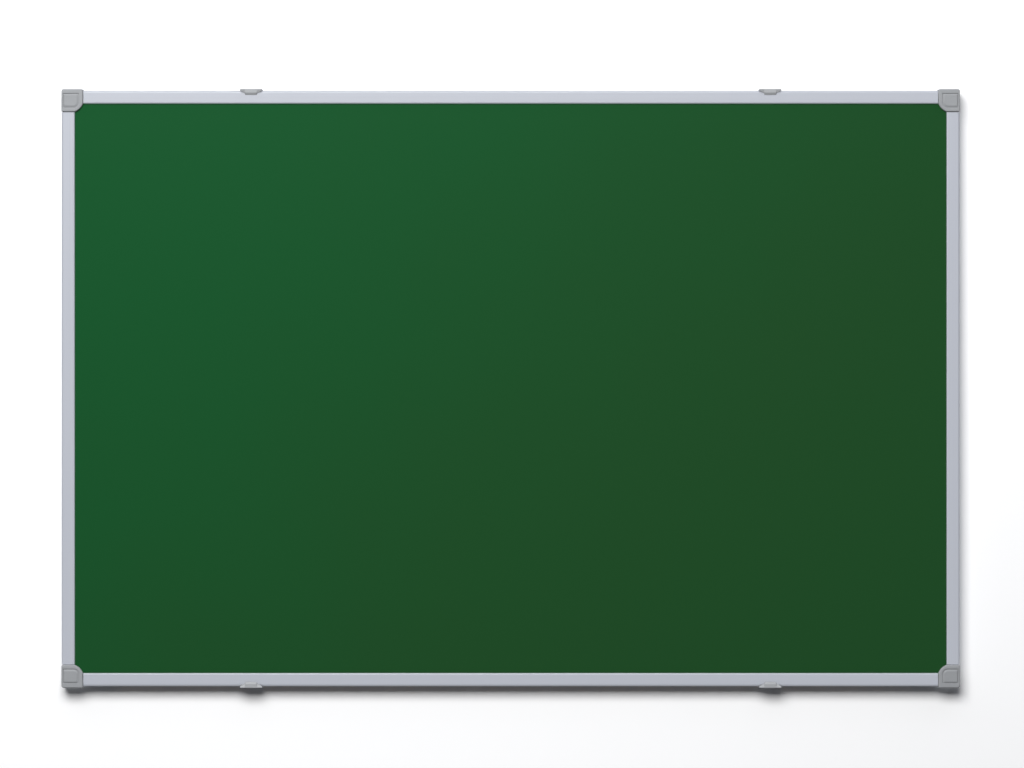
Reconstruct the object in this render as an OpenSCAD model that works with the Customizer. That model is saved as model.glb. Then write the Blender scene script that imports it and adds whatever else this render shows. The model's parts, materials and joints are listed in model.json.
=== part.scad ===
// Wall-hung chalkboard: a laminated steel-faced panel in a slim extruded frame,
// with moulded corner caps and four wall clips that slide along the long rails.
// Millimetres. +X is to the right, +Y points into the wall, +Z is up.
// The origin is on the wall plane, at the centre of the four wall screws.

/* [Board] */
// Overall width, over the corner caps
board_w = 900; // [600:10:1800]
// Overall height, over the corner caps
board_h = 600; // [400:10:1200]
// Thickness of the enamelled steel writing sheet
sheet_t = 0.5; // [0.3:0.1:1]
// Thickness of the fibreboard core
core_t = 8; // [5:0.5:14]
// Thickness of the galvanised backing sheet
backing_t = 0.3; // [0.2:0.1:0.8]

/* [Frame rails] */
// Width of a rail, seen from the front
rail_face = 13.3; // [12.5:0.1:20]
// Wall thickness of a rail
rail_wall = 1.2; // [1:0.1:1.5]
// Width of the closed chamber that takes the corner legs
chamber_w = 5.3; // [4.5:0.1:6.5]
// Thickness of the lip's nose, from the rail's front face down to the sheet
nose_t = 2; // [1.6:0.1:3]
// Width of the lip's nose
nose_w = 2.4; // [2:0.1:3]
// How far the rear flange reaches behind the panel
flange_reach = 3.8; // [2:0.1:5]
// Depth of the open recess behind the rear flange
rear_recess = 2.8; // [1:0.1:6]
// Radius of the rail's outer front edge
rail_edge_r = 2; // [0.5:0.1:2.5]
// Radius of the lip's inner front edge
nose_edge_r = 1.5; // [0.5:0.1:1.8]
// Play of the panel in the slot, on each side
slot_play = 0.1; // [0.05:0.05:0.2]
// Gap between the panel's edge and the rail's web
panel_edge_gap = 1; // [0.5:0.1:2]

/* [Corner caps] */
// How far a cap runs on past the rails' inner edges
cap_arm = 8; // [6:0.5:14]
// Overhang past the outer line of the left and right rails
cap_side_over = 0.3; // [0.1:0.1:1]
// Overhang past the outer line of the top and bottom rails
cap_end_over = 1.7; // [0.5:0.1:3]
// Height of a cap's front above the rails' front
cap_proud = 1; // [0.5:0.1:2]
// Radius of the convex edge over the panel's corner
cap_arc_r = 16; // [11:0.5:30]
// Radius of a cap's outer corner
cap_corner_r = 2.5; // [1:0.1:5]
// Gap between a cap's shoulder and the end of a rail
cap_gap = 0.4; // [0.2:0.1:1]
// Gap between a cap's pocket and the panel's edges
pocket_gap = 0.3; // [0.2:0.1:0.5]
// Margin from a cap's side edge to its raised pad
pad_side_margin = 2.5; // [2:0.1:4]
// Margin from a cap's top or bottom edge to its raised pad
pad_end_margin = 5.7; // [2:0.1:7]
// Margin from a cap's shoulders to its raised pad
pad_inner_margin = 6.1; // [5:0.1:8]
// Radius of the pad's inner corner
pad_corner_r = 3; // [1:0.1:4]
// Width of the groove beside the pad, on the cap's outer sides
groove_outer_w = 0.8; // [0.4:0.1:1.2]
// Width of the groove beside the pad, on the cap's inner sides
groove_inner_w = 2; // [1:0.1:2.5]
// Depth of the groove round the pad
groove_depth = 0.7; // [0.3:0.1:1]
// Wall left round the hollow in a cap's back
core_out_wall = 2; // [1.5:0.1:2.5]
// Length of a cap's legs inside the rails
leg_len = 30; // [20:1:60]
// Play of a leg in its chamber, on each side
leg_play = 0.15; // [0.1:0.05:0.25]
// Taper at the tip of a leg
leg_lead = 1.2; // [0.5:0.1:2]

/* [Corner screws] */
// Shank radius of the corner screws
screw_r = 1.25; // [1:0.05:1.5]
// Head radius of the corner screws
screw_head_r = 2.5; // [2.3:0.1:2.8]
// Length of the corner screws
screw_len = 9; // [6:0.5:12]
// Distance from the end of a rail to its screw
screw_inset = 12; // [6:0.5:18]
// Play round a screw
screw_play = 0.05; // [0.03:0.01:0.1]
// Length of one arm of the cross recess, from the middle
recess_arm = 1.3; // [0.8:0.1:1.6]
// Width of the cross recess
recess_w = 0.5; // [0.3:0.1:0.8]
// Depth of the cross recess
recess_depth = 0.8; // [0.4:0.1:1.2]

/* [Wall clips] */
// Distance from the board's middle to a clip's middle
clip_x = 260; // [60:5:380]
// Width of a clip
clip_w = 22; // [18:1:40]
// Thickness of a clip's wall plate
plate_t = 3; // [2.5:0.1:5]
// How far the wall plate reaches in from the rail's outer line
plate_reach = 26; // [25:1:40]
// Radius of the wall plate's inner corners
plate_corner_r = 5; // [2:0.5:8]
// Thickness of the web that passes the rail's outer edge
clip_web_t = 1.5; // [1:0.1:2.5]
// Sliding clearance between a clip and its rail
clip_play = 0.2; // [0.1:0.05:0.4]
// Thickness of a clip in front of the rail
hook_t = 1.6; // [1:0.1:2.5]
// Width of the tongue that holds the rail
tongue_w = 12; // [8:1:16]
// How far the tongue reaches over the rail's face
tongue_reach = 4.4; // [3:0.1:6]
// Length of the tongue's sloped tip
tongue_slope = 2.2; // [1:0.1:3]
// Thickness of the tongue's very tip
tongue_tip_t = 0.3; // [0.2:0.1:0.6]
// How far the hook's slanted ends reach over the rail's edge
hook_end_reach = 3; // [1:0.1:4]
// Radius of the wall-screw hole
hole_r = 2.25; // [1.75:0.05:2.75]
// Distance from the rail's outer line to the hole
hole_inset = 19.3; // [18:0.1:30]
// Straight part of the hole, below the countersink
hole_land = 1; // [0.8:0.1:1.5]

/* [Hidden] */
$fn = 48;
EPS = 0.01;
BIG = 60;

half_w = board_w / 2 - cap_side_over;
half_h = board_h / 2 - cap_end_over;
panel_t = sheet_t + core_t + backing_t;
flange_front = rear_recess + rail_wall;
backing_back = flange_front + slot_play;
core_back = backing_back + backing_t;
sheet_back = core_back + core_t;
slot_front = backing_back + panel_t + slot_play;
rail_depth = slot_front + nose_t;
web_u = rail_wall + chamber_w;
web_end = web_u + rail_wall;
panel_edge = web_end + panel_edge_gap;
rail_back = plate_t + clip_play;

cap_reach = rail_face + cap_arm;
cap_depth = rail_depth + cap_proud;
arc_mid = rail_face + cap_arm / 2;
arc_c = arc_mid - sqrt(cap_arc_r * cap_arc_r / 2 - cap_arm * cap_arm / 4);
rail_start = cap_reach + cap_gap;
pad_lo = [pad_side_margin - cap_side_over, pad_end_margin - cap_end_over];
pad_hi = [cap_reach - pad_inner_margin, cap_reach - pad_inner_margin];
leg_t = chamber_w - 2 * leg_play;
leg_d = rail_depth - 2 * rail_wall - 2 * leg_play;
screw_cone_h = screw_head_r - screw_r;
screw_u = rail_wall + chamber_w / 2;

hook_under = rail_back + rail_depth + clip_play;
hook_front = hook_under + hook_t;
clip_outer = clip_play + clip_web_t;
csk_h = plate_t - hole_land;

CORNERS = [["top_left", -1, 1], ["top_right", 1, 1],
           ["bottom_left", -1, -1], ["bottom_right", 1, -1]];

// ---- frames of reference -------------------------------------------------
// A corner's own frame: x and y run inward from the rails' outer lines, z runs
// forward from the rails' backs.
module at_corner(side, level) {
    translate([side * half_w, -rail_back, level * half_h])
        mirror_if(side > 0, [1, 0, 0]) mirror_if(level > 0, [0, 0, 1])
            rotate([90, 0, 0]) children();
}

module mirror_if(yes, axis) {
    if (yes) mirror(axis) children();
    else children();
}

// Swaps a corner's two inward directions.
module swap_xy() {
    mirror([1, -1, 0]) children();
}

// What a square corner loses when it is rounded, with the corner at the origin
// and the solid towards +x +y.
module corner_loss(r) {
    difference() {
        translate([-EPS, -EPS]) square(r + EPS);
        translate([r, r]) circle(r);
    }
}

// ---- panel ---------------------------------------------------------------
module panel_layer(back, thickness) {
    size_x = 2 * (half_w - panel_edge);
    size_z = 2 * (half_h - panel_edge);
    translate([-size_x / 2, -rail_back - back - thickness, -size_z / 2])
        cube([size_x, thickness, size_z]);
}

module writing_sheet() {
    color("#1d5a2c") panel_layer(sheet_back, sheet_t);
}

module core_panel() {
    color("#b08a5c") panel_layer(core_back, core_t);
}

module backing_sheet() {
    color("#a9adb0") panel_layer(backing_back, backing_t);
}

// ---- rails ---------------------------------------------------------------
// Cross-section: x runs inward from the rail's outer line, y runs forward.
module rail_section() {
    difference() {
        union() {
            square([rail_wall, rail_depth]);
            square([web_end, rail_wall]);
            translate([web_u, 0]) square([rail_wall, rail_depth]);
            translate([0, rail_depth - rail_wall]) square([rail_face, rail_wall]);
            translate([rail_face - nose_w, slot_front]) square([nose_w, nose_t]);
            translate([web_u, rear_recess])
                square([panel_edge + flange_reach - web_u, rail_wall]);
        }
        translate([0, rail_depth]) mirror([0, 1]) corner_loss(rail_edge_r);
        translate([rail_face, rail_depth]) rotate(180) corner_loss(nose_edge_r);
    }
}

// A rail centred on x = 0 that runs along x, with y inward and z forward. Each
// end is countersunk in the back wall for one corner screw.
module rail(length) {
    difference() {
        rotate([90, 0, 90]) linear_extrude(length, center = true) rail_section();
        for (side = [-1, 1])
            translate([side * (length / 2 - screw_inset), screw_u, 0]) screw_seat();
    }
}

module screw_seat() {
    translate([0, 0, -EPS])
        cylinder(h = rail_wall + 2 * EPS, r = screw_r + screw_play);
    cylinder(h = screw_cone_h, r1 = screw_head_r + screw_play, r2 = screw_r + screw_play);
}

module long_rail(level) {
    color("#c6cace")
        mirror_if(level > 0, [0, 0, 1])
            translate([0, -rail_back, -half_h])
                rotate([90, 0, 0]) rail(2 * (half_w - rail_start));
}

module short_rail(side) {
    color("#b9bfc6")
        mirror_if(side > 0, [1, 0, 0])
            translate([-half_w, -rail_back, 0])
                rotate([0, 90, 0]) rotate([90, 0, 0]) rail(2 * (half_h - rail_start));
}

// ---- corner caps ---------------------------------------------------------
module cap_outline() {
    difference() {
        translate([-cap_side_over, -cap_end_over])
            square([cap_reach + cap_side_over, cap_reach + cap_end_over]);
        translate([-cap_side_over, -cap_end_over]) corner_loss(cap_corner_r);
        difference() {
            translate([arc_c, arc_c]) square(cap_reach - arc_c + EPS);
            translate([arc_c, arc_c]) circle(cap_arc_r, $fn = 96);
        }
    }
}

// A rectangle whose inner corner, the one furthest from the outer corner, is round.
module pad_outline(lo, hi, r) {
    difference() {
        translate(lo) square(hi - lo);
        translate(hi) rotate(180) corner_loss(r);
    }
}

module pad_groove() {
    outer = [groove_outer_w, groove_outer_w];
    inner = [groove_inner_w, groove_inner_w];
    translate([0, 0, cap_depth - groove_depth]) linear_extrude(groove_depth + EPS)
        difference() {
            pad_outline(pad_lo - outer, pad_hi + inner, pad_corner_r + groove_inner_w);
            pad_outline(pad_lo, pad_hi, pad_corner_r);
        }
}

// A leg along x that plugs into a long rail's chamber, with a tapered tip and a
// hole for its screw.
module cap_leg() {
    root = cap_reach - rail_wall;
    tip = cap_reach + leg_len;
    lo = rail_wall + leg_play;
    difference() {
        translate([0, 0, lo]) linear_extrude(leg_d)
            polygon([[root, lo], [tip - leg_lead, lo], [tip, lo + leg_lead],
                     [tip, lo + leg_t - leg_lead], [tip - leg_lead, lo + leg_t],
                     [root, lo + leg_t]]);
        translate([rail_start + screw_inset, screw_u, 0])
            cylinder(h = screw_len + 2 * screw_play, r = screw_r + screw_play);
    }
}

module corner_cap(side, level) {
    pocket = panel_edge - pocket_gap;
    hollow_hi = pocket - core_out_wall;
    color("#9b9fa1") at_corner(side, level) {
        difference() {
            linear_extrude(cap_depth) cap_outline();
            translate([pocket, pocket, flange_front])
                cube([BIG, BIG, slot_front - flange_front]);
            translate([core_out_wall - cap_side_over, core_out_wall - cap_end_over, -EPS])
                cube([hollow_hi - core_out_wall + cap_side_over,
                      hollow_hi - core_out_wall + cap_end_over,
                      rail_depth - core_out_wall]);
            pad_groove();
        }
        cap_leg();
        swap_xy() cap_leg();
    }
}

// ---- corner screws -------------------------------------------------------
module corner_screw() {
    difference() {
        union() {
            cylinder(h = screw_cone_h, r1 = screw_head_r, r2 = screw_r);
            cylinder(h = screw_len, r = screw_r);
        }
        for (turn = [0, 90]) rotate(turn)
            translate([-recess_arm, -recess_w / 2, -EPS])
                cube([2 * recess_arm, recess_w, recess_depth + EPS]);
    }
}

module corner_screws(side, level) {
    seat = [rail_start + screw_inset, screw_u, screw_play];
    color("#c9c7bd") at_corner(side, level) {
        translate(seat) corner_screw();
        swap_xy() translate(seat) corner_screw();
    }
}

// ---- wall clips ----------------------------------------------------------
// A clip's own frame: x along the rail from the clip's middle, y inward from the
// rail's outer line, z forward from the wall.
module clip_plate() {
    difference() {
        linear_extrude(plate_t) difference() {
            translate([-clip_w / 2, -clip_outer]) square([clip_w, plate_reach + clip_outer]);
            for (end = [-1, 1])
                translate([end * clip_w / 2, plate_reach])
                    rotate(end > 0 ? 180 : -90) corner_loss(plate_corner_r);
        }
        translate([0, hole_inset, -EPS]) cylinder(h = plate_t + 2 * EPS, r = hole_r);
        translate([0, hole_inset, hole_land])
            cylinder(h = csk_h + EPS, r1 = hole_r, r2 = hole_r + csk_h + EPS);
    }
}

// The web past the rail's edge and what it carries in front of the rail, as one
// side profile: its first number runs inward, its second forward.
module hook(width, reach, slope) {
    rotate([90, 0, 90]) linear_extrude(width, center = true)
        polygon([[-clip_outer, 0], [-clip_outer, hook_front], [reach - slope, hook_front],
                 [reach, hook_under + tongue_tip_t], [reach, hook_under],
                 [-clip_play, hook_under], [-clip_play, 0]]);
}

// Seen from the front, the hook narrows from the clip's width to the tongue's.
module hook_outline() {
    wide = clip_w / 2;
    slim = tongue_w / 2;
    polygon([[-wide, -clip_outer], [wide, -clip_outer], [wide, -clip_play],
             [slim, hook_end_reach], [-slim, hook_end_reach], [-wide, -clip_play]]);
}

module wall_clip(side, level) {
    color("#a3a5a7")
        mirror_if(level > 0, [0, 0, 1])
            translate([side * clip_x, 0, -half_h]) rotate([90, 0, 0]) {
                clip_plate();
                intersection() {
                    hook(clip_w, hook_end_reach, hook_end_reach + clip_outer / 2);
                    linear_extrude(hook_front) hook_outline();
                }
                hook(tongue_w, tongue_reach, tongue_slope);
            }
}

writing_sheet();
core_panel();
backing_sheet();
long_rail(1);  // top_rail
long_rail(-1);  // bottom_rail
short_rail(-1);  // left_rail
short_rail(1);  // right_rail
for (c = CORNERS) {
    corner_cap(c[1], c[2]);
    corner_screws(c[1], c[2]);
    wall_clip(c[1], c[2]);
}
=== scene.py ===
# %% [markdown]
# # A wall-hung chalkboard on sliding clips
# A chalkboard looks plain, so its finish is all in small things: the satin of
# the enamel, the soft edges of an extrusion, the grain of a moulded cap. This
# notebook starts from a packed engineering model, which fixes every size and
# place, and builds what the eye sees around it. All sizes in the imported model
# are in metres, with +X to the right, +Y into the wall and +Z up.

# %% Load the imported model
import json
import math

import bmesh
import bpy
from mathutils import Matrix, Vector

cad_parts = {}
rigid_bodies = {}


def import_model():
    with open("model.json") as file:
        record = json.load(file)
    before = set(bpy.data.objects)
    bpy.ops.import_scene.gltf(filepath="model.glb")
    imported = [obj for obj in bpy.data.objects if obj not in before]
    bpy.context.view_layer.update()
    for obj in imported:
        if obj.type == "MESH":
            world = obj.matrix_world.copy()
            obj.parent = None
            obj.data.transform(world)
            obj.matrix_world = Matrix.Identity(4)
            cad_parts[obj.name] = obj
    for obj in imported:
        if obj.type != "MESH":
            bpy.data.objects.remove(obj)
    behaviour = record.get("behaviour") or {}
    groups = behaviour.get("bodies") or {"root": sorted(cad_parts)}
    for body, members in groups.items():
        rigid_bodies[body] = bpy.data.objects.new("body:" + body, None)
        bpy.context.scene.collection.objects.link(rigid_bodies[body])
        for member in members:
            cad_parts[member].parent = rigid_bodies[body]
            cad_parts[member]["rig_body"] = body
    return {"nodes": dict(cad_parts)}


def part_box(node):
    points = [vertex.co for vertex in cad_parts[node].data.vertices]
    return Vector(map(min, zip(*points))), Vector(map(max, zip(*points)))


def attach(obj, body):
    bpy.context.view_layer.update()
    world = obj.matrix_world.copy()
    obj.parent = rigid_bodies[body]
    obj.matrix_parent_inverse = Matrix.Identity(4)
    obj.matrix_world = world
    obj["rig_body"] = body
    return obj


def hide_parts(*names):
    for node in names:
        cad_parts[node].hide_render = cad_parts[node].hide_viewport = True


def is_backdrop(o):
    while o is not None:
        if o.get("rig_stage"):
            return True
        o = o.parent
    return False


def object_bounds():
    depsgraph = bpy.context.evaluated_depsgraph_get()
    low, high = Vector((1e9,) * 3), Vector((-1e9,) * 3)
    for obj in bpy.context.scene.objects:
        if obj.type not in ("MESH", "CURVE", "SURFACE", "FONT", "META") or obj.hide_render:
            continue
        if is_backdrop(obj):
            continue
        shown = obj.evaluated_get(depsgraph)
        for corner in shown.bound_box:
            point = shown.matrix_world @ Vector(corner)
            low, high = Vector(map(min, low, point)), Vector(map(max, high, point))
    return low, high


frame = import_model()
cad_low, cad_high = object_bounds()
MM = 0.001
print("size in mm:", [round(side / MM, 1) for side in cad_high - cad_low])

# %% [markdown]
# ## The camera
# A board is flat, so it is looked at square on. A long lens from across the
# room keeps the four rails parallel and hides their outer sides. The lens is
# worked out from how much wall the picture takes in, and the camera is a few
# millimetres off the board's middle, as a hand-held one is.

# %% Camera
VIEW_DISTANCE = 3.5
FIELD_WIDTH = 1.025
AIM_X = 1.35 * MM
AIM_Z = 4.4 * MM

camera_data = bpy.data.cameras.new("camera")
camera_data.lens = camera_data.sensor_width * VIEW_DISTANCE / FIELD_WIDTH
camera = bpy.data.objects.new("camera", camera_data)
camera.location = (AIM_X, cad_low.y - VIEW_DISTANCE, AIM_Z)
camera.rotation_euler = (math.radians(90), 0, 0)
bpy.context.scene.collection.objects.link(camera)
bpy.context.scene.camera = camera
bpy.context.scene.view_settings.view_transform = "Standard"
print("lens in mm:", round(camera_data.lens, 1))

# %% [markdown]
# ## Colours and nodes
# Colours are picked on a screen, which shows sRGB, but a renderer adds up
# light, which is linear. One function turns a hex value from the first to the
# second. A second function adds any shader node with its settings and links,
# so that a material reads as a list of what it is made of.

# %% Colour and node helpers
def linear(code):
    """An sRGB hex value such as #1e5028 as the linear colour that a socket takes."""
    def channel(text):
        share = int(text, 16) / 255
        return share / 12.92 if share <= 0.04045 else ((share + 0.055) / 1.055) ** 2.4
    return [channel(code[1:3]), channel(code[3:5]), channel(code[5:7]), 1.0]


def add(tree, kind, inputs=None, **settings):
    """Adds a node. An input is a value, or the socket of another node that feeds it."""
    made = tree.nodes.new(kind)
    for key, value in settings.items():
        setattr(made, key, value)
    for key, value in (inputs or {}).items():
        if isinstance(value, bpy.types.NodeSocket):
            tree.links.new(value, made.inputs[key])
        else:
            made.inputs[key].default_value = value
    return made


def start_material(name):
    """An empty material, its node tree, and coordinates in metres that stay with the piece."""
    made = bpy.data.materials.new(name)
    made.use_nodes = True
    made.node_tree.nodes.clear()
    place = add(made.node_tree, "ShaderNodeTexCoord").outputs["Object"]
    return made, made.node_tree, place


COLOUR_A, COLOUR_B, COLOUR_OUT = 6, 7, 2
print("a mid green in linear light:", [round(c, 3) for c in linear("#1e5028")[:3]])

# %% [markdown]
# ## Vitreous chalk enamel
# The writing face is steel sheet with a fired coat of glass enamel, ground
# matt so that chalk takes. That gives the eye a deep, even green with a satin
# bloom instead of a mirror. Enamel is glass, so its IOR is about 1.5, but the
# grinding takes half its shine, and so the specular level is half the usual.
# The colour is painted from a fresh, bluish green at the upper left to a deep,
# olive one at the lower right. This is painted light and shade for the lamp's
# fall across the board. A slow noise over a hand's width is a real random drift
# in the enamel's tone, and it keeps that fall from looking ruled. The grit is
# about 0.1 mm, too fine to show, so it is drawn at 1.5 mm and very shallow.

# %% Chalk enamel
# The two greens are the enamel lit and the enamel in shade: the fall between them is painted light and
# shade.
ENAMEL_LIT_END = "#02451c"
ENAMEL_SHADED_END = "#0f3d16"
FIRING_DRIFT = 180 * MM
GRIT = 1.5 * MM
WIPE = 60 * MM
SHADED_SIDE = (1.0, 0.0, -1.0)
HALF_SPAN = 0.5
UNEVEN_SHARE = 0.25
GROUND_SHINE = 0.25

enamel, tree, place = start_material("vitreous_chalk_enamel")
# Painted light and shade: the colour runs from the lit green at the upper left to the shaded green at
# the lower right, with a real random drift in tone mixed in.
toward_shaded_side = add(tree, "ShaderNodeVectorMath", {0: place, 1: SHADED_SIDE}, operation="DOT_PRODUCT")
drift = add(tree, "ShaderNodeTexNoise", {"Vector": place, "Scale": 1 / FIRING_DRIFT, "Detail": 2.0})
uneven = add(tree, "ShaderNodeMath", {
    0: drift.outputs["Fac"], 1: UNEVEN_SHARE, 2: toward_shaded_side.outputs["Value"]}, operation="MULTIPLY_ADD")
falloff_and_drift = add(tree, "ShaderNodeMapRange", {"Value": uneven.outputs["Value"], "From Min": -HALF_SPAN,
                                         "From Max": HALF_SPAN}, interpolation_type="SMOOTHSTEP")
tone = add(tree, "ShaderNodeMix", {0: falloff_and_drift.outputs["Result"], COLOUR_A: linear(ENAMEL_LIT_END),
                                   COLOUR_B: linear(ENAMEL_SHADED_END)}, data_type="RGBA")
grit = add(tree, "ShaderNodeTexNoise", {"Vector": place, "Scale": 1 / GRIT, "Detail": 3.0})
wipe = add(tree, "ShaderNodeTexNoise", {"Vector": place, "Scale": 1 / WIPE, "Detail": 4.0})
gloss = add(tree, "ShaderNodeMapRange", {"Value": wipe.outputs["Fac"], "To Min": 0.36, "To Max": 0.44})
relief = add(tree, "ShaderNodeBump", {"Height": grit.outputs["Fac"], "Strength": 0.12,
                                      "Distance": 0.05 * MM})
shader = add(tree, "ShaderNodeBsdfPrincipled", {
    "Base Color": tone.outputs[COLOUR_OUT], "Roughness": gloss.outputs["Result"],
    "Normal": relief.outputs["Normal"], "IOR": 1.5,
    "Specular IOR Level": GROUND_SHINE})
add(tree, "ShaderNodeOutputMaterial", {"Surface": shader.outputs["BSDF"]})
print("made", enamel.name)

# %% [markdown]
# ## Anodised aluminium
# The rails are extruded, so faint die lines run along them, and they are
# etched before anodising, which turns the bright metal to a soft grey satin.
# Metal has no IOR worth setting; its colour does that work. The die lines are
# noise stretched along the rail, so the long and the short rails each need
# their own direction. Real lines are 0.05 mm apart and are drawn at 0.6 mm.

# %% Anodised aluminium
ALUMINIUM = "#e9ebed"
ALUMINIUM_LINE = "#e0e2e5"
DIE_LINE = 0.6 * MM
LINE_LENGTH = 400 * MM


def anodised_aluminium(name, along):
    """Satin aluminium whose die lines run along X or along Z."""
    made, tree, place = start_material(name)
    stretch = [1 / DIE_LINE] * 3
    stretch["XYZ".index(along)] = 1 / LINE_LENGTH
    lines = add(tree, "ShaderNodeVectorMath", {0: place, 1: stretch}, operation="MULTIPLY")
    grain = add(tree, "ShaderNodeTexNoise", {"Vector": lines.outputs["Vector"], "Scale": 1.0,
                                             "Detail": 2.0})
    tone = add(tree, "ShaderNodeMix", {0: grain.outputs["Fac"], COLOUR_A: linear(ALUMINIUM_LINE),
                                       COLOUR_B: linear(ALUMINIUM)}, data_type="RGBA")
    satin = add(tree, "ShaderNodeMapRange", {"Value": grain.outputs["Fac"], "To Min": 0.42,
                                             "To Max": 0.56})
    relief = add(tree, "ShaderNodeBump", {"Height": grain.outputs["Fac"], "Strength": 0.15,
                                          "Distance": 0.02 * MM})
    shader = add(tree, "ShaderNodeBsdfPrincipled", {
        "Base Color": tone.outputs[COLOUR_OUT], "Metallic": 1.0,
        "Roughness": satin.outputs["Result"], "Normal": relief.outputs["Normal"]})
    add(tree, "ShaderNodeOutputMaterial", {"Surface": shader.outputs["BSDF"]})
    return made


aluminium_along = {axis: anodised_aluminium("anodised_aluminium_" + axis.lower(), axis)
                   for axis in "XZ"}
print("made", [made.name for made in aluminium_along.values()])

# %% [markdown]
# ## Moulded ABS
# Caps and clips are injection moulded in grey ABS from spark-eroded moulds.
# The mould's matt grain is what keeps plastic from looking like wax: many tiny
# highlights in place of one. ABS has an IOR of 1.53. The grain is about
# 0.1 mm and is drawn at 0.5 mm, and a slow drift in tone stands for the way
# the melt flows into thick and thin places.

# %% Moulded ABS
GRAIN = 0.5 * MM
FLOW = 14 * MM


def moulded_abs(name, light, dark, roughness):
    """Grey ABS with a moulded grain."""
    made, tree, place = start_material(name)
    flow = add(tree, "ShaderNodeTexNoise", {"Vector": place, "Scale": 1 / FLOW, "Detail": 1.0})
    tone = add(tree, "ShaderNodeMix", {0: flow.outputs["Fac"], COLOUR_A: linear(dark),
                                       COLOUR_B: linear(light)}, data_type="RGBA")
    grain = add(tree, "ShaderNodeTexNoise", {"Vector": place, "Scale": 1 / GRAIN, "Detail": 2.0})
    matt = add(tree, "ShaderNodeMapRange", {"Value": grain.outputs["Fac"],
                                            "To Min": roughness - 0.06, "To Max": roughness + 0.06})
    relief = add(tree, "ShaderNodeBump", {"Height": grain.outputs["Fac"], "Strength": 0.25,
                                          "Distance": 0.03 * MM})
    shader = add(tree, "ShaderNodeBsdfPrincipled", {
        "Base Color": tone.outputs[COLOUR_OUT], "Roughness": matt.outputs["Result"],
        "Normal": relief.outputs["Normal"], "IOR": 1.53, "Metallic": 0.0})
    add(tree, "ShaderNodeOutputMaterial", {"Surface": shader.outputs["BSDF"]})
    return made


cap_abs = moulded_abs("moulded_abs_cap", "#959799", "#8d8f91", 0.5)
clip_abs = moulded_abs("moulded_abs_clip", "#9fa1a3", "#97999b", 0.45)
print("made", cap_abs.name, "and", clip_abs.name)

# %% [markdown]
# ## The back: galvanised steel, fibreboard and zinc-plated screws
# Nobody buys a board for its back, but it is seen when it is hung. The backing
# sheet is hot-dip galvanised, and its zinc freezes into flat crystals about
# 12 mm across, the spangle, each with its own grey. A Voronoi pattern gives
# one random value to each cell, which is just what a crystal does. The core is
# pressed wood fibre, and the screws are steel with a thin bright zinc plate.

# %% Galvanised steel
SPANGLE = 12 * MM
galvanised, tree, place = start_material("spangled_galvanised_steel")
crystal = add(tree, "ShaderNodeTexVoronoi", {"Vector": place, "Scale": 1 / SPANGLE})
crystal_value = add(tree, "ShaderNodeSeparateColor", {"Color": crystal.outputs["Color"]})
tone = add(tree, "ShaderNodeMix", {0: crystal_value.outputs["Red"], COLOUR_A: linear("#cbd0d3"),
                                   COLOUR_B: linear("#e0e3e4")}, data_type="RGBA")
satin = add(tree, "ShaderNodeMapRange", {"Value": crystal_value.outputs["Green"], "To Min": 0.36,
                                         "To Max": 0.52})
shader = add(tree, "ShaderNodeBsdfPrincipled", {
    "Base Color": tone.outputs[COLOUR_OUT], "Metallic": 1.0, "Roughness": satin.outputs["Result"]})
add(tree, "ShaderNodeOutputMaterial", {"Surface": shader.outputs["BSDF"]})
print("made", galvanised.name)

# %% Pressed wood fibre
FIBRE_WIDTH = 0.8 * MM
FIBRE_LENGTH = 6 * MM
fibreboard, tree, place = start_material("pressed_wood_fibre")
strands = add(tree, "ShaderNodeVectorMath", {0: place, 1: [1 / FIBRE_LENGTH, 1 / FIBRE_WIDTH,
                                                           1 / FIBRE_LENGTH]}, operation="MULTIPLY")
fibres = add(tree, "ShaderNodeTexNoise", {"Vector": strands.outputs["Vector"], "Scale": 1.0,
                                          "Detail": 5.0, "Distortion": 1.5})
tone = add(tree, "ShaderNodeMix", {0: fibres.outputs["Fac"], COLOUR_A: linear("#8a6a45"),
                                   COLOUR_B: linear("#c39d6e")}, data_type="RGBA")
relief = add(tree, "ShaderNodeBump", {"Height": fibres.outputs["Fac"], "Strength": 0.5,
                                      "Distance": 0.1 * MM})
shader = add(tree, "ShaderNodeBsdfPrincipled", {
    "Base Color": tone.outputs[COLOUR_OUT], "Roughness": 0.85, "Normal": relief.outputs["Normal"]})
add(tree, "ShaderNodeOutputMaterial", {"Surface": shader.outputs["BSDF"]})
print("made", fibreboard.name)

# %% Zinc-plated steel
PLATING_DRIFT = 1.5 * MM
zinc_plate, tree, place = start_material("zinc_plated_steel")
plating = add(tree, "ShaderNodeTexNoise", {"Vector": place, "Scale": 1 / PLATING_DRIFT, "Detail": 2.0})
tone = add(tree, "ShaderNodeMix", {0: plating.outputs["Fac"], COLOUR_A: linear("#b9bcc0"),
                                   COLOUR_B: linear("#d2cfc4")}, data_type="RGBA")
satin = add(tree, "ShaderNodeMapRange", {"Value": plating.outputs["Fac"], "To Min": 0.22,
                                         "To Max": 0.36})
shader = add(tree, "ShaderNodeBsdfPrincipled", {
    "Base Color": tone.outputs[COLOUR_OUT], "Metallic": 1.0, "Roughness": satin.outputs["Result"]})
add(tree, "ShaderNodeOutputMaterial", {"Surface": shader.outputs["BSDF"]})
print("made", zinc_plate.name)

# %% [markdown]
# ## From a mesh to a piece
# Every visible piece ends in the same way. Its mesh becomes an object that
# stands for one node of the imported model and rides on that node's body. Real
# edges are never sharp, so the rails, caps and clips have small rounded edges in
# their geometry, and a weighted-normal modifier keeps the flat faces between
# them truly flat.

# %% Make a piece
SHARP = math.radians(35)


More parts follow.
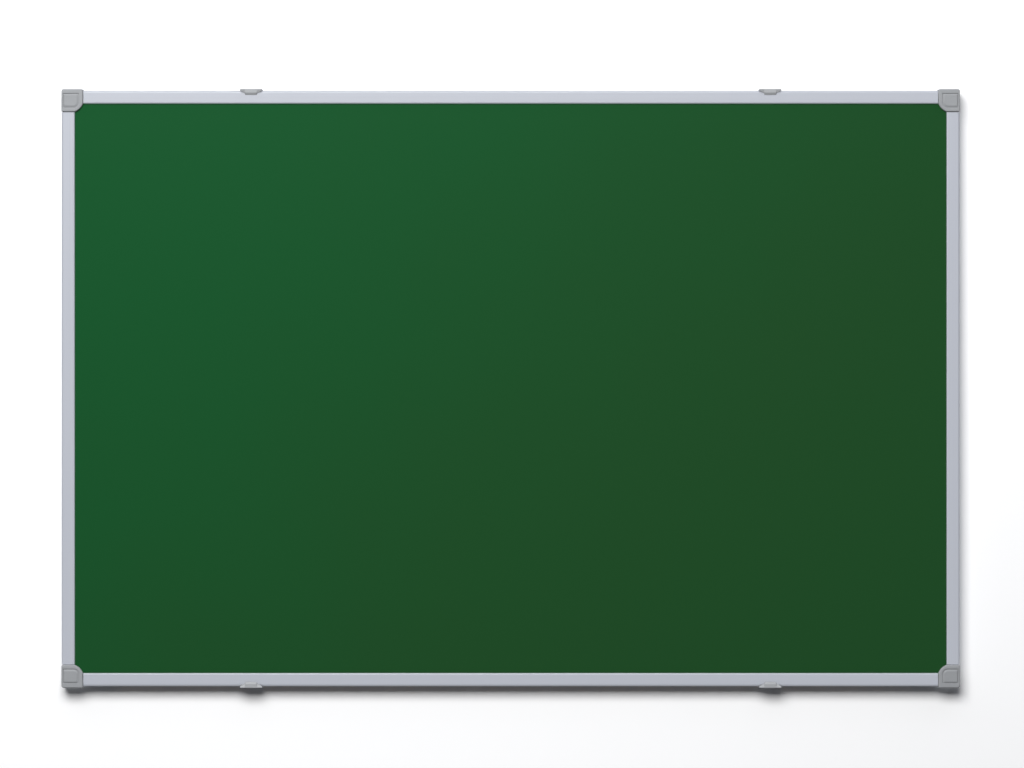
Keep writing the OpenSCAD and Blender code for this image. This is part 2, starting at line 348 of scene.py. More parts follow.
def make_piece(name, mesh, node, material):
    """The finished bmesh as a piece that replaces a node and rides where it rode."""
    mesh.normal_update()
    bmesh.ops.recalc_face_normals(mesh, faces=mesh.faces)
    data = bpy.data.meshes.new(name)
    mesh.to_mesh(data)
    mesh.free()
    data.materials.append(material)
    data.shade_smooth()
    data.set_sharp_from_angle(angle=SHARP)
    made = bpy.data.objects.new(name, data)
    bpy.context.scene.collection.objects.link(made)
    made.modifiers.new("flat_faces_stay_flat", "WEIGHTED_NORMAL").keep_sharp = True
    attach(made, frame["nodes"][node]["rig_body"])
    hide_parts(node)
    return made


print("edges that turn more than", round(math.degrees(SHARP)), "degrees stay sharp")

# %% [markdown]
# ## The laminated panel
# The panel is a sandwich: enamelled sheet, fibre core and galvanised backing.
# A thin sheet glued to a soft core is never optically flat, so the two steel
# sheets are grids that ripple by a few hundredths of a millimetre, which is
# less than their play in the frame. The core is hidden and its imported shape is
# right, so it only gets its material.

# %% Steel sheets
RIPPLE = 0.03 * MM
RIPPLE_LENGTH = 140 * MM
RIPPLE_BEND = 0.7
GRID = 15 * MM


def steel_sheet(name, node, material):
    """A thin sheet with a faint ripple that dies away at its edges."""
    low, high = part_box(node)
    size, middle = high - low, (high + low) / 2
    mesh = bmesh.new()
    bmesh.ops.create_grid(mesh, x_segments=round(size.x / GRID), y_segments=round(size.z / GRID),
                          size=0.5)
    for vert in mesh.verts:
        x, z = vert.co.x * size.x, vert.co.y * size.z
        wave = math.sin(x / RIPPLE_LENGTH + RIPPLE_BEND * math.sin(z / RIPPLE_LENGTH))
        fade = math.cos(math.pi * vert.co.x) * math.cos(math.pi * vert.co.y)
        vert.co = (middle.x + x, low.y + RIPPLE * wave * max(fade, 0), middle.z + z)
    front = mesh.faces[:]
    rim = [edge for edge in mesh.edges if edge.is_boundary]
    back = bmesh.ops.duplicate(mesh, geom=front)
    back_verts = [part for part in back["geom"] if isinstance(part, bmesh.types.BMVert)]
    bmesh.ops.translate(mesh, verts=back_verts, vec=(0, size.y, 0))
    back_rim = [edge for edge in mesh.edges if edge.is_boundary and edge not in rim]
    bmesh.ops.bridge_loops(mesh, edges=rim + back_rim)
    return make_piece(name, mesh, node, material)


steel_sheet("enamelled_sheet", "writing_sheet", enamel)
steel_sheet("galvanised_sheet", "backing_sheet", galvanised)
frame["nodes"]["core_panel"].data.materials.clear()
frame["nodes"]["core_panel"].data.materials.append(fibreboard)

# %% [markdown]
# ## Rounded outlines
# An extrusion is one outline pushed through a die, and a moulding is outlines
# stacked on each other, so outlines are most of the work. One is written as
# its corners in millimetres, each with a radius, and a function turns every
# corner to an arc. A second function moves an outline inwards, with its radii,
# which is how a rounded rim is made: the outline steps in as it steps up.

# %% Outline helpers
ARC_STEPS = 6
SMALLEST_RADIUS = 0.01


def neighbours(outline):
    """Each corner of an outline with the one before it, the one after it and its radius."""
    points = [Vector(corner[:2]) for corner in outline]
    for index, corner in enumerate(points):
        after = points[(index + 1) % len(points)]
        yield points[index - 1], corner, after, (*outline[index], 0)[2]


def turn_at(before, corner, after):
    """How far an outline turns at a corner, in radians: positive to the left."""
    come, leave = corner - before, after - corner
    return math.atan2(come.cross(leave), come.dot(leave))


def rounded(outline, is_open=False):
    """The arcs of an outline's corners. An open outline's two ends only give a direction."""
    made = []
    corners = list(neighbours(outline))
    for before, corner, after, radius in corners[1:-1] if is_open else corners:
        turn = turn_at(before, corner, after)
        back = (before - corner).normalized()
        start = corner + back * radius * abs(math.tan(turn / 2))
        spoke = Vector((-back.y, back.x)) * radius * math.copysign(1, turn)
        for step in range(ARC_STEPS + 1):
            made.append(start - spoke + Matrix.Rotation(turn * step / ARC_STEPS, 2) @ spoke)
    return made


def inset(outline, depth):
    """An outline that runs anticlockwise, moved inwards by a depth, with its radii."""
    made = []
    for before, corner, after, radius in neighbours(outline):
        sides = [Vector((side.y, -side.x)).normalized() for side in (before - corner, corner - after)]
        moved = corner + (sides[0] + sides[1]) * depth / (1 + sides[0].dot(sides[1]))
        grown = radius - depth if turn_at(before, corner, after) > 0 else radius + depth
        made.append((moved.x, moved.y, max(grown, SMALLEST_RADIUS)))
    return made


print("a 10 mm square moved in by 1:",
      [corner[:2] for corner in inset([(0, 0, 2), (10, 0, 2), (10, 10, 2), (0, 10, 2)], 1)])

# %% [markdown]
# ## Skins, unions and cuts
# A stack of loops becomes a skin when each loop is joined to the next. Where a
# flat face has a hole in it, the two rims are filled between. Holes and joined
# parts use an exact boolean, because a cutter shaped like the screw's head is
# the plainest way to say where a screw sits. A cutter reaches a clear millimetre
# past what it cuts, so that no two faces lie in one plane. The booleans run
# while the meshes are still in millimetres, where the numbers are a comfortable
# size.

# %% Skins
def skin(mesh, loops):
    """Joins each loop of places to the next, and gives back the loops as vertices."""
    rings = [[mesh.verts.new(place) for place in loop] for loop in loops]
    for near, far in zip(rings, rings[1:]):
        for i in range(len(near)):
            mesh.faces.new((near[i - 1], near[i], far[i], far[i - 1]))
    return rings


def level_loop(outline, height):
    """The places of an outline at one height."""
    return [Vector((*point, height)) for point in rounded(outline)]


def stack(outline, path):
    """Loops of an outline that moves in and up along an open path of (in, up, radius) corners."""
    return [level_loop(inset(outline, depth), up) for depth, up in rounded(path, is_open=True)]


def fill_between(mesh, *rings):
    """Fills the flat face that lies between two rings, or inside one."""
    edges = [mesh.edges.get((ring[i - 1], ring[i])) for ring in rings for i in range(len(ring))]
    bmesh.ops.triangle_fill(mesh, edges=edges, use_beauty=True)


print("skins ready")


# %% Unions and cuts
SLIVER = SMALLEST_RADIUS / 3


def combine(mesh, other, operation):
    """The union or the difference of two closed meshes."""
    parts = []
    for role, source in (("kept", mesh), ("tool", other)):
        source.normal_update()
        bmesh.ops.recalc_face_normals(source, faces=source.faces)
        data = bpy.data.meshes.new(role)
        source.to_mesh(data)
        source.free()
        parts.append(bpy.data.objects.new(role, data))
        bpy.context.scene.collection.objects.link(parts[-1])
    boolean = parts[0].modifiers.new("combine", "BOOLEAN")
    boolean.operation, boolean.solver, boolean.object = operation, "EXACT", parts[1]
    bpy.context.view_layer.update()
    result = bmesh.new()
    result.from_mesh(parts[0].evaluated_get(bpy.context.evaluated_depsgraph_get()).to_mesh())
    for done in parts:
        bpy.data.objects.remove(done)
    bmesh.ops.dissolve_degenerate(result, dist=SLIVER, edges=result.edges)
    return result


print("slivers under", round(SLIVER, 4), "mm are dissolved")

# %% Turned shapes
LATHE_STEPS = 48
CLEAR = 1


def lathe(profile):
    """A closed turned shape from (height, radius) pairs along Z, wide or pointed at its ends."""
    turns = [2 * math.pi * step / LATHE_STEPS for step in range(LATHE_STEPS)]
    mesh = bmesh.new()
    rings = skin(mesh, [[Vector((radius * math.cos(turn), radius * math.sin(turn), height))
                         for turn in turns] for height, radius in profile])
    for end in (rings[0], rings[-1]):
        mesh.faces.new(end)
    return mesh


print("a turned ring has", LATHE_STEPS, "points, and a cutter reaches", CLEAR, "mm past its work")

# %% [markdown]
# ## Where each side and corner is
# The four corners are one shape, mirrored, and so are the four sides. Each
# gets a matrix that takes its own directions, in millimetres, to the board:
# inward from the frame's outer lines, and forward, away from the wall.

# %% Side and corner places
CORNERS = ["top_left", "top_right", "bottom_left", "bottom_right"]
INWARD = {"left": Vector((1, 0, 0)), "right": Vector((-1, 0, 0)),
          "bottom": Vector((0, 0, 1)), "top": Vector((0, 0, -1))}
FORWARD = Vector((0, -1, 0))
OUTER_LINE = {"left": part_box("left_rail")[0].x, "right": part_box("right_rail")[1].x,
              "bottom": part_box("bottom_rail")[0].z, "top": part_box("top_rail")[1].z}
RAIL_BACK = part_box("top_rail")[1].y


def place_of(first, second, origin):
    """Takes millimetres along two directions and forward to the board."""
    turn = Matrix((first, second, FORWARD)).transposed().to_4x4()
    return Matrix.Translation(origin) @ turn @ Matrix.Scale(MM, 4)


def corner_place(corner):
    """A corner's own (across, up or down, forward): the first two run inward."""
    level, side = corner.split("_")
    return place_of(INWARD[side], INWARD[level],
                    (OUTER_LINE[side], RAIL_BACK, OUTER_LINE[level]))


def side_place(side, middle, back):
    """A side's own (along, inward, forward), from a point on its outer line."""
    if side in ("left", "right"):
        return place_of(Vector((0, 0, 1)), INWARD[side], (OUTER_LINE[side], back, middle))
    return place_of(Vector((1, 0, 0)), INWARD[side], (middle, back, OUTER_LINE[side]))


def rail_length(side):
    """The length of a side's rail in millimetres."""
    low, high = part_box(side + "_rail")
    return (high.z - low.z if side in ("left", "right") else high.x - low.x) / MM


print("rails in mm:", {side: round(rail_length(side), 1) for side in INWARD})

# %% [markdown]
# ## The rail's section
# Large radii are the ones that catch the light: the rail's outer edge and the
# nose that rests on the enamel. The small ones are only what a die can't make
# sharper. The section has a hollow chamber for the corner legs, a web, and a
# slot that holds the panel between the nose and a rear flange.

# %% Rail section
RAIL_WALL = 1.2
WEB = 6.5
WEB_END = WEB + RAIL_WALL
NOSE_WIDTH = 2.4
NOSE = 2.0
FLANGE_END = 12.5
FLANGE_BACK = 2.8
FLANGE_FRONT = FLANGE_BACK + RAIL_WALL
DIE_EDGE = 0.2
NOSE_EDGE = 1.5
OUTER_EDGE = 2.0

rail_low, rail_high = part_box("top_rail")
FACE = (rail_high.z - rail_low.z) / MM
DEPTH = (rail_high.y - rail_low.y) / MM
SLOT_FRONT = DEPTH - NOSE

section = rounded([
    (0, 0, DIE_EDGE), (WEB_END, 0, DIE_EDGE), (WEB_END, FLANGE_BACK, DIE_EDGE),
    (FLANGE_END, FLANGE_BACK, DIE_EDGE), (FLANGE_END, FLANGE_FRONT, DIE_EDGE),
    (WEB_END, FLANGE_FRONT, DIE_EDGE), (WEB_END, DEPTH - RAIL_WALL, DIE_EDGE),
    (FACE - NOSE_WIDTH, DEPTH - RAIL_WALL, DIE_EDGE), (FACE - NOSE_WIDTH, SLOT_FRONT, DIE_EDGE),
    (FACE, SLOT_FRONT, DIE_EDGE), (FACE, DEPTH, NOSE_EDGE), (0, DEPTH, OUTER_EDGE)])
chamber = rounded([(RAIL_WALL, RAIL_WALL, DIE_EDGE), (WEB, RAIL_WALL, DIE_EDGE),
                   (WEB, DEPTH - RAIL_WALL, DIE_EDGE), (RAIL_WALL, DEPTH - RAIL_WALL, DIE_EDGE)])
print("rail section", round(FACE, 1), "x", round(DEPTH, 1), "mm, of", len(section), "points")

# %% [markdown]
# ## The rails
# Each rail is its section drawn along its length, with the chamber left
# hollow. Near each end its back is countersunk for one corner screw.

# %% Rails
SCREW_HEAD = 2.5
SCREW_SHANK = 1.25
SCREW_PLAY = 0.05
SCREW_INSET = 12.0
SCREW_ACROSS = (RAIL_WALL + WEB) / 2


def hole_for_screw(at, depth):
    """A cutter for a countersunk hole whose wide end is at zero height."""
    wide, slim = SCREW_HEAD + SCREW_PLAY, SCREW_SHANK + SCREW_PLAY
    cutter = lathe([(-CLEAR, wide + CLEAR), (SCREW_HEAD - SCREW_SHANK, slim), (depth, slim)])
    cutter.transform(Matrix.Translation(at))
    return cutter


for side in INWARD:
    length = rail_length(side)
    rail = bmesh.new()
    outer, inner = (skin(rail, [[Vector((at, *point)) for point in outline]
                                for at in (-length / 2, length / 2)])
                    for outline in (section, chamber))
    for end in (0, 1):
        fill_between(rail, outer[end], inner[end])
    for at in (SCREW_INSET - length / 2, length / 2 - SCREW_INSET):
        hole = hole_for_screw((at, SCREW_ACROSS, 0), RAIL_WALL + CLEAR)
        rail = combine(rail, hole, "DIFFERENCE")
    rail.transform(side_place(side, 0, RAIL_BACK))
    material = aluminium_along["Z" if side in ("left", "right") else "X"]
    make_piece("rail_" + side, rail, side + "_rail", material)
    print("rail", side, "made")

# %% [markdown]
# ## Corner caps
# A cap is one moulding: a block with a groove round a raised pad, and two legs
# that plug into the rails. The block is a stack of outlines. The rim that a
# hand touches has a generous radius, the pad's edge a small one, and the other
# edges only the 0.2 mm that lets a moulding leave its mould. The pad's sides
# slope down to the groove's floor, widest towards the board's middle, so they
# catch more or less light than the flat top does. From behind the cap is cored
# out, because thick plastic sinks as it cools, and a pocket takes the panel's
# corner.

# %% Cap block
CAP_SIDE_OVER = 0.3
CAP_END_OVER = 1.7
CAP_REACH = 21.3
CAP_TOP = (RAIL_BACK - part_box("corner_cap_top_left")[0].y) / MM
RIM = 1.3
MOULD_EDGE = 0.2
PAD_EDGE = 0.4
GROOVE_FLOOR = CAP_TOP - 0.9
CORE_TOP = DEPTH - 2
BELLY = 18.81
BELLY_RADIUS = 14.8

block_outline = [(-CAP_SIDE_OVER, -CAP_END_OVER, 2.5), (CAP_REACH, -CAP_END_OVER, 1.5),
                 (CAP_REACH, FACE, 1.5), (BELLY, BELLY, BELLY_RADIUS), (FACE, CAP_REACH, 1.5),
                 (-CAP_SIDE_OVER, CAP_REACH, 1.5)]
groove_outline = [(1.3, 2.7, 1.0), (17.5, 2.7, 1.0), (17.5, 17.5, 5.2), (1.3, 17.5, 1.0)]
foot_outline = [(1.6, 3.0, 0.8), (17.0, 3.0, 0.8), (17.0, 17.0, 4.8), (1.6, 17.0, 0.8)]
pad_outline = [(2.8, 4.6, 0.8), (15.2, 4.6, 0.8), (15.2, 15.2, 3.4), (2.8, 15.2, 0.8)]
core_outline = [(1.7, 0.5, 0.6), (6.4, 0.5, 0.6), (6.4, 6.4, 0.6), (1.7, 6.4, 0.6)]


def cap_block():
    """The cap's block, closed, with its groove, pad and core."""
    mesh = bmesh.new()
    wall = skin(mesh, stack(block_outline, [(1, 0), (0, 0, MOULD_EDGE), (0, CAP_TOP, RIM),
                                            (2, CAP_TOP)]))
    groove = skin(mesh, stack(groove_outline, [(-1, CAP_TOP), (0, CAP_TOP, MOULD_EDGE),
                                               (0, GROOVE_FLOOR, MOULD_EDGE), (1, GROOVE_FLOOR)]))
    pad = skin(mesh, [level_loop(foot_outline, GROOVE_FLOOR)]
               + stack(pad_outline, [(-1, GROOVE_FLOOR), (0, CAP_TOP, PAD_EDGE), (1, CAP_TOP)]))
    core = skin(mesh, stack(core_outline, [(-1, 0), (0, 0, MOULD_EDGE), (0, CORE_TOP, MOULD_EDGE),
                                           (1, CORE_TOP)]))
    fill_between(mesh, wall[-1], groove[0])
    fill_between(mesh, groove[-1], pad[0])
    fill_between(mesh, pad[-1])
    fill_between(mesh, wall[0], core[0])
    fill_between(mesh, core[-1])
    return mesh


print("cap top at", round(CAP_TOP, 2), "mm above the rails' backs")

# %% Cap legs and pocket
LEG_PLAY = 0.15
LEG_ROOT = CAP_REACH - RAIL_WALL
LEG_LENGTH = 30
LEG_END = CAP_REACH + LEG_LENGTH
LEG_EDGE = 1.2
LEG_LEAD = 1.2
LEG_TAPER = 1.1
SCREW_HOLE_END = 9.1
POCKET = 8.4
BEYOND = 40
SWAP = Matrix(((0, 1, 0, 0), (1, 0, 0, 0), (0, 0, 1, 0), (0, 0, 0, 1)))
RAIL_START = (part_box("top_rail")[0].x - OUTER_LINE["left"]) / MM


def cap_leg():
    """A leg that runs on from the block, with a tapered tip and a hole for its screw."""
    low, wide, high = RAIL_WALL + LEG_PLAY, WEB - LEG_PLAY, DEPTH - RAIL_WALL - LEG_PLAY
    outline = [(low, low, LEG_EDGE), (wide, low, LEG_EDGE), (wide, high, LEG_EDGE),
               (low, high, LEG_EDGE)]
    mesh = bmesh.new()
    rings = skin(mesh, [[Vector((at, *point)) for point in rounded(inset(outline, depth))]
                        for at, depth in ((LEG_ROOT, 0), (LEG_END - LEG_LEAD, 0),
                                          (LEG_END, LEG_TAPER))])
    for end in (rings[0], rings[-1]):
        mesh.faces.new(end)
    hole = lathe([(-CLEAR, SCREW_SHANK + SCREW_PLAY), (SCREW_HOLE_END, SCREW_SHANK + SCREW_PLAY)])
    hole.transform(Matrix.Translation((RAIL_START + SCREW_INSET, SCREW_ACROSS, 0)))
    return combine(mesh, hole, "DIFFERENCE")


print("legs reach", LEG_END, "mm from the frame's outer lines")


# %% The four caps
def cutting_box(low, high):
    """A plain cutter between two corners."""
    mesh = bmesh.new()
    bmesh.ops.create_cube(mesh, size=1)
    for vert in mesh.verts:
        vert.co = [a + (b - a) * (c + 0.5) for a, b, c in zip(low, high, vert.co)]
    return mesh


cap = combine(cap_block(), cutting_box((POCKET, POCKET, FLANGE_FRONT),
                                       (BEYOND, BEYOND, SLOT_FRONT)), "DIFFERENCE")
for turn in (Matrix(), SWAP):
    leg = cap_leg()
    leg.transform(turn)
    cap = combine(cap, leg, "UNION")
for corner in CORNERS:
    piece = cap.copy()
    piece.transform(corner_place(corner))
    make_piece("cap_" + corner, piece, "corner_cap_" + corner, cap_abs)
print("caps of", len(cap.verts), "points each")
cap.free()

# %% [markdown]
# ## Corner screws
# Each corner is held from behind by two countersunk self-tapping screws. The
# head is a lathe profile, and the thread is the same lathe with its radius
# rising and falling along a helix, so the whole screw is one grid of points.
# The cross recess is cut out afterwards.

# %% Screw thread
PITCH = 1.1
RINGS_A_TURN = 10
CORE_RADIUS = 0.95
CREST_RADIUS = 1.22
RIDGE_SHARE = 0.28
POINT_LENGTH = 2.2
TIP_RADIUS = 0.05
HEAD = [(0, 2.15), (0.04, 2.33), (0.12, 2.37), (SCREW_HEAD - SCREW_SHANK, SCREW_SHANK)]


def thread_radius(depth, turn, length):
    """The thread's radius at a depth below the head's top and a share of a turn."""
    phase = (depth / PITCH - turn) % 1
    ridge = max(0, 1 - abs(phase - 0.5) / RIDGE_SHARE)
    taper = min(1, (length - depth) / POINT_LENGTH)
    return (CORE_RADIUS + (CREST_RADIUS - CORE_RADIUS) * ridge) * taper


def threaded_screw(length):
    """A countersunk screw with its head's top at zero height and its point upwards."""
    loops = [[(depth, step / LATHE_STEPS, radius) for step in range(LATHE_STEPS)]
             for depth, radius in HEAD]
    first = round(HEAD[-1][0] / PITCH * RINGS_A_TURN) + 1
    for ring in range(first, round(length / PITCH * RINGS_A_TURN)):
        depth = ring * PITCH / RINGS_A_TURN
        loops.append([(depth, step / LATHE_STEPS, thread_radius(depth, step / LATHE_STEPS, length))
                      for step in range(LATHE_STEPS)])
    loops.append([(length, step / LATHE_STEPS, TIP_RADIUS) for step in range(LATHE_STEPS)])
    mesh = bmesh.new()
    rings = skin(mesh, [[Vector((radius * math.cos(2 * math.pi * turn),
                                 radius * math.sin(2 * math.pi * turn), depth))
                         for depth, turn, radius in loop] for loop in loops])
    for end in (rings[0], rings[-1]):
        mesh.faces.new(end)
    return mesh


print("thread of", PITCH, "mm pitch")

# %% Screw
RECESS_ARM = 1.3
RECESS_WIDTH = 0.5
RECESS_DEEP = 0.8


def cross_recess():
    """A cross whose arms narrow with depth, as a driver's tip does."""
    half = RECESS_WIDTH / 2
    quadrant = [(1, -1), (1, 1), (0, 1)]
    mesh = bmesh.new()
    loops = []
    for height, arm in ((-1, RECESS_ARM), (0, RECESS_ARM), (RECESS_DEEP, RECESS_ARM / 2)):
        corners = [Vector((arm if out else half, side * half)) for out, side in quadrant]
        loops.append([Vector((*(Matrix.Rotation(math.pi / 2 * turn, 2) @ corner), height))
                      for turn in range(4) for corner in corners])
    rings = skin(mesh, loops)
    for end in (rings[0], rings[-1]):
        fill_between(mesh, end)
    return mesh


screw_low, screw_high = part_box("corner_screws_top_left")
screw_length = (screw_high.y - screw_low.y) / MM
screw = combine(threaded_screw(screw_length), cross_recess(), "DIFFERENCE")
print("screw of", round(screw_length, 1), "mm and", len(screw.verts), "points")

# %% Corner screws
INTO_BOARD = Matrix.Rotation(math.radians(90), 4, "X") @ Matrix.Scale(MM, 4)

for corner in CORNERS:
    level, side = corner.split("_")
    pair = bmesh.new()
    for rail, sign in ((level, 1 if side == "right" else -1), (side, 1 if level == "top" else -1)):
        at = sign * (rail_length(rail) / 2 - SCREW_INSET)
        seat = side_place(rail, 0, RAIL_BACK) @ Vector((at, SCREW_ACROSS, SCREW_PLAY))
        placed = bpy.data.meshes.new("screw")
        screw.to_mesh(placed)
        placed.transform(Matrix.Translation(seat) @ INTO_BOARD)
        pair.from_mesh(placed)
        bpy.data.meshes.remove(placed)
    make_piece("screws_" + corner, pair, "corner_screws_" + corner, zinc_plate)
screw.free()
print("two screws in each of", len(CORNERS), "corners")

# %% [markdown]
# ## Wall clips
# Each clip is a plate on the wall, a web past the rail's edge and a hook on
# the rail's face. Its side profile changes along its width: the plate's inner
# corners are round, and the hook narrows to a sloped tongue. So the clip is
# one loft of that profile, taken at many places along its width, with the
# countersunk hole for the wall screw cut at the end.

# %% Clip profile
CLIP_OUTER = -1.7
CLIP_INNER = -0.2
PLATE = 3.0
PLATE_REACH = 26.0
PLATE_CORNER = 5.0
HOOK_UNDER = 18.4
HOOK_FRONT = 20.0
TONGUE_HALF = 6.0
TONGUE_REACH = 4.4
TONGUE_FLAT = 2.2
TONGUE_TIP = 18.7
SHOULDER_REACH = 3.0
SHOULDER_END = 0.3
SHOULDER_FLAT = -0.85
BLEND = 0.3
CLIP_END = 0.35
clip_low, clip_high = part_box("wall_clip_top_left")
CLIP_HALF = (clip_high.x - clip_low.x) / 2 / MM


def blend(start, end, share):
    """A smooth step from one value to another."""
    share = min(max(share, 0), 1)
    return start + (end - start) * share * share * (3 - 2 * share)


def clip_profile(at):
    """The clip's side profile, (inward, forward, radius), at a distance from its middle."""
    out = max(at - (CLIP_HALF - PLATE_CORNER), 0)
    plate = PLATE_REACH - PLATE_CORNER + math.sqrt(PLATE_CORNER ** 2 - out ** 2)
    share = (at - TONGUE_HALF) / (CLIP_HALF - TONGUE_HALF)
    shoulder = SHOULDER_REACH + (SHOULDER_END - SHOULDER_REACH) * share
    fall = (shoulder - SHOULDER_FLAT) / (SHOULDER_REACH - SHOULDER_FLAT)
    step = (at - TONGUE_HALF + BLEND) / (2 * BLEND)
    reach = blend(TONGUE_REACH, shoulder, step)
    flat = blend(TONGUE_FLAT, SHOULDER_FLAT, step)
    tip = blend(TONGUE_TIP, HOOK_FRONT - (HOOK_FRONT - TONGUE_TIP) * fall, step)
    return [(CLIP_OUTER, 0, 0.3), (plate, 0, 0.3), (plate, PLATE, 0.4), (CLIP_INNER, PLATE, 0.6),
            (CLIP_INNER, HOOK_UNDER, 0.2), (reach, HOOK_UNDER, 0.08), (reach, tip, 0.15),
            (flat, HOOK_FRONT, 0.5), (CLIP_OUTER, HOOK_FRONT, 0.6)]


print("profile in the clip's middle:", clip_profile(0)[5:7])

# %% Wall clips
HOLE_RADIUS = 2.25
HOLE_INSET = 19.3
HOLE_LAND = 1.0
TURN_STEPS = 9


def clip_stations():
    """(distance from the middle, inset) from the clip's middle to its end."""
    near = [(0.0, 0), (TONGUE_HALF / 2, 0)]
    step = [(TONGUE_HALF + BLEND * share / 3, 0) for share in range(-3, 4)]
    plate = [(CLIP_HALF - PLATE_CORNER * (1 - math.sin(math.pi / 2 * k / TURN_STEPS)), 0)
             for k in range(1, TURN_STEPS + 1)]
    plate = [(at, depth) for at, depth in plate if step[-1][0] < at < CLIP_HALF - CLIP_END]
    end = [(CLIP_HALF - CLIP_END + CLIP_END * math.sin(turn), CLIP_END * (1 - math.cos(turn)))
           for turn in (math.pi / 2 * k / ARC_STEPS for k in range(ARC_STEPS + 1))]
    return near + step + plate + end


def wall_clip():
    """The clip in its own (along, inward, forward)."""
    half = clip_stations()
    whole = [(-at, at, depth) for at, depth in reversed(half[1:])] + [(at, at, depth)
                                                                      for at, depth in half]
    mesh = bmesh.new()
    rings = skin(mesh, [[Vector((x, *point)) for point in rounded(inset(clip_profile(at), depth))]
                        for x, at, depth in whole])
    for end in (rings[0], rings[-1]):
        fill_between(mesh, end)
    flare = PLATE - HOLE_LAND
    hole = lathe([(-CLEAR, HOLE_RADIUS), (HOLE_LAND, HOLE_RADIUS), (PLATE, HOLE_RADIUS + flare),
                  (PLATE + CLEAR, HOLE_RADIUS + flare + CLEAR)])
    hole.transform(Matrix.Translation((0, HOLE_INSET, 0)))
    return combine(mesh, hole, "DIFFERENCE")


clip = wall_clip()
for corner in CORNERS:
    low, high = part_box("wall_clip_" + corner)
    piece = clip.copy()
    piece.transform(side_place(corner.split("_")[0], (low.x + high.x) / 2, high.y))
    make_piece("clip_" + corner, piece, "wall_clip_" + corner, clip_abs)
print("clips of", len(clip.verts), "points each")
clip.free()

# %% [markdown]
# ## The room
# The board hangs on a pale wall over a pale floor. The wall is one-sided: seen
# from behind it is clear, as a cut-away in a drawing is, so that the back of
# the board can be looked at too. For the same reason it casts no shadow, and
# metal doesn't mirror it. The floor is far below, and its bounce would only
# fill the dark line under the board, so it is left out of the bounces.

# %% Paint
MOTTLE = 333 * MM


def plain_paint(name, code, one_sided):
    """Pale matt paint, which can be clear from behind."""
    made, tree, place = start_material(name)
    mottle = add(tree, "ShaderNodeTexNoise", {"Vector": place, "Scale": 1 / MOTTLE, "Detail": 3.0})
    matt = add(tree, "ShaderNodeMapRange", {"Value": mottle.outputs["Fac"], "To Min": 0.85,
                                            "To Max": 0.95})
    shader = add(tree, "ShaderNodeBsdfPrincipled", {
        "Base Color": linear(code), "Roughness": matt.outputs["Result"],
        "Specular IOR Level": 0.2}).outputs["BSDF"]
    if one_sided:
        behind = add(tree, "ShaderNodeNewGeometry").outputs["Backfacing"]
        clear = add(tree, "ShaderNodeBsdfTransparent").outputs["BSDF"]
        shader = add(tree, "ShaderNodeMixShader", {0: behind, 1: shader, 2: clear}).outputs["Shader"]
    add(tree, "ShaderNodeOutputMaterial", {"Surface": shader})
    return made


wall_paint = plain_paint("wall_paint", "#fafafa", True)
floor_paint = plain_paint("floor_paint", "#fafaf8", False)
print("made", wall_paint.name, "and", floor_paint.name)


# %% Wall and floor
def stage_plane(name, material, size, middle, turn):
    """A flat part of the room, which isn't part of the board."""
    mesh = bmesh.new()
    bmesh.ops.create_grid(mesh, x_segments=1, y_segments=1, size=0.5)
    data = bpy.data.meshes.new(name)
    mesh.to_mesh(data)
    mesh.free()
    data.materials.append(material)
    made = bpy.data.objects.new(name, data)
    bpy.context.scene.collection.objects.link(made)
    made.scale = (size[0], size[1], 1)
    made.location = middle
    made.rotation_euler = turn
    made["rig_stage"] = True
    return made


ROOM = 14.0
WALL_WIDTH = 5.0
WALL_HEIGHT = 6.0
FLOOR_DROP = 1.5
WALL_GAP = 0.3 * MM

wall = stage_plane("wall", wall_paint, (WALL_WIDTH, WALL_HEIGHT),
                   (0, WALL_GAP, WALL_HEIGHT / 2 - FLOOR_DROP), (math.radians(90), 0, 0))
wall.visible_shadow = False
wall.visible_glossy = False
floor = stage_plane("floor", floor_paint, (ROOM, ROOM), (0, 0, -FLOOR_DROP), (0, 0, 0))
floor.visible_diffuse = False
floor.visible_glossy = False
print("wall and floor made")

# %% [markdown]
# ## Light
# One large soft light above and to the left does most of the work. It draws
# the dark line under the board. The enamel's fall from a fresh green at the upper
# left to a deep one at the lower right comes partly from this light and partly
# from painted shade in the enamel's colour. A softbox that size would also burn
# a white patch into every satin rail, so it only lights, and a small one beside
# it shines. A third light is for the board's back. The bottom rail sends so much
# light back onto the wall that it would fill its own shadow, so it is left out
# of the bounces that light the wall.

# %% Lights
def soft_light(name, at, size, watts, shines=True):
    """A rectangular light that looks at the middle of the board."""
    data = bpy.data.lights.new(name, "AREA")
    data.shape = "RECTANGLE"
    data.size, data.size_y = size
    data.energy = watts
    made = bpy.data.objects.new(name, data)
    made.location = at
    made.rotation_euler = (-Vector(at)).to_track_quat("-Z", "Y").to_euler()
    made.visible_glossy = shines
    bpy.context.scene.collection.objects.link(made)
    return made


soft_light("key", at=(-0.5, -2.6, 1.42), size=(2.0, 1.5), watts=112, shines=False)
soft_light("shine", at=(-0.6, -2.4, 1.6), size=(1.2, 0.6), watts=9)
soft_light("back_key", at=(0, 2.8, 0.6), size=(2.4, 1.6), watts=110, shines=False)
bpy.data.objects["rail_bottom"].visible_diffuse = False

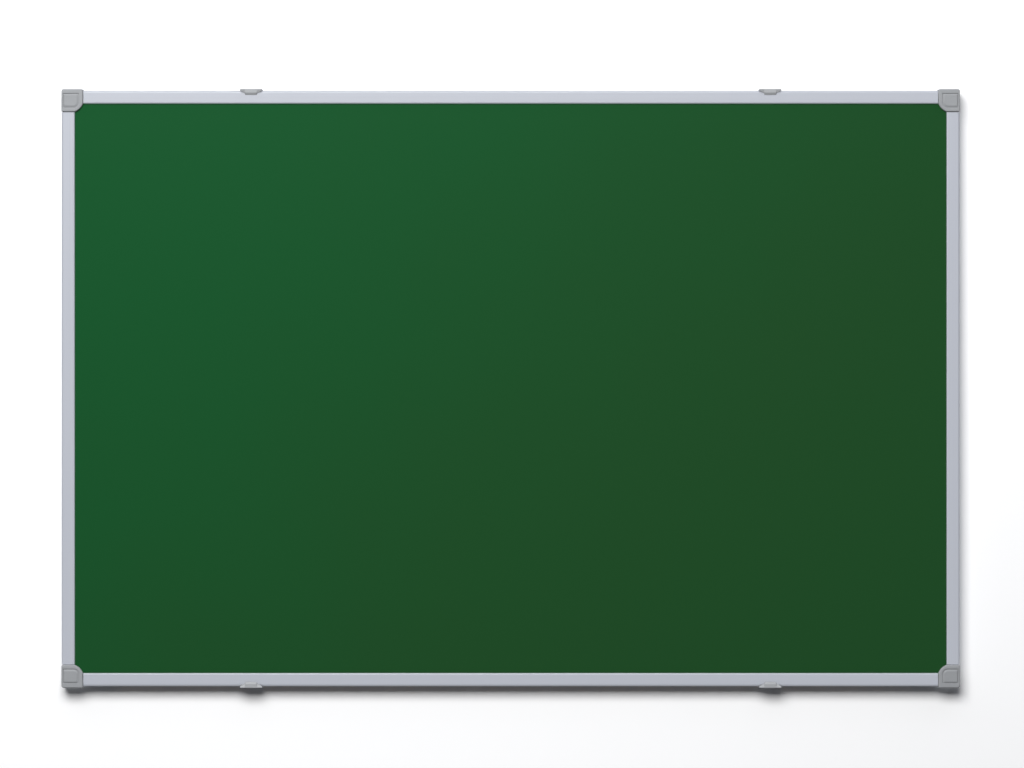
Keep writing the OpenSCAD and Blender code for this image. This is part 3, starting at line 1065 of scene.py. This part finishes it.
# %% [markdown]
# ## The light of the room
# Satin metal is mostly a picture of the room, so the room gets three answers.
# What metal mirrors is pale and brightens upwards, towards the lamps. What
# lights a matt surface is the ceiling, and very little from all round, so that
# shadows stay dark. What is seen directly is an even light grey.

# %% Room light
ALL_ROUND, CEILING = 0.06, 1.1
CEILING_STARTS, CEILING_FULL = 0.55, 0.85
MIRRORED_LOW, MIRRORED_HIGH = 0.44, 0.84
TOWARD_LAMPS = (-0.15, -0.3, 1)
LAMPS_FULL = 0.45

world = bpy.data.worlds.new("room_light")
world.use_nodes = True
tree = world.node_tree
tree.nodes.clear()
toward = add(tree, "ShaderNodeTexCoord").outputs["Generated"]
rise = add(tree, "ShaderNodeVectorMath", {0: toward, 1: TOWARD_LAMPS}, operation="DOT_PRODUCT")
mirrored = add(tree, "ShaderNodeMapRange", {
    "Value": rise.outputs["Value"], "From Max": LAMPS_FULL,
    "To Min": MIRRORED_LOW, "To Max": MIRRORED_HIGH})
height = add(tree, "ShaderNodeSeparateXYZ", {"Vector": toward}).outputs["Z"]
lighting = add(tree, "ShaderNodeMapRange", {
    "Value": height, "From Min": CEILING_STARTS, "From Max": CEILING_FULL,
    "To Min": ALL_ROUND, "To Max": CEILING})
ray = add(tree, "ShaderNodeLightPath")
strength = add(tree, "ShaderNodeMapRange", {
    "Value": ray.outputs["Is Glossy Ray"], "To Min": lighting.outputs["Result"],
    "To Max": mirrored.outputs["Result"]})
seen = add(tree, "ShaderNodeBackground", {"Color": linear("#f4f4f4"), "Strength": 1.0})
unseen = add(tree, "ShaderNodeBackground", {
    "Color": linear("#f2f5ff"), "Strength": strength.outputs["Result"]})
both = add(tree, "ShaderNodeMixShader", {
    0: ray.outputs["Is Camera Ray"], 1: unseen.outputs["Background"],
    2: seen.outputs["Background"]})
add(tree, "ShaderNodeOutputWorld", {"Surface": both.outputs["Shader"]})
bpy.context.scene.world = world
print("room light made")

# %% [markdown]
# ## The size of the finished pieces
# The finished pieces must fill the same box as the imported model, so their box
# is printed last, to be set against the imported model's box printed at the start.

# %% Finished size
low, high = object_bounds()
print("visual size in mm:", [round(side / MM, 2) for side in high - low])
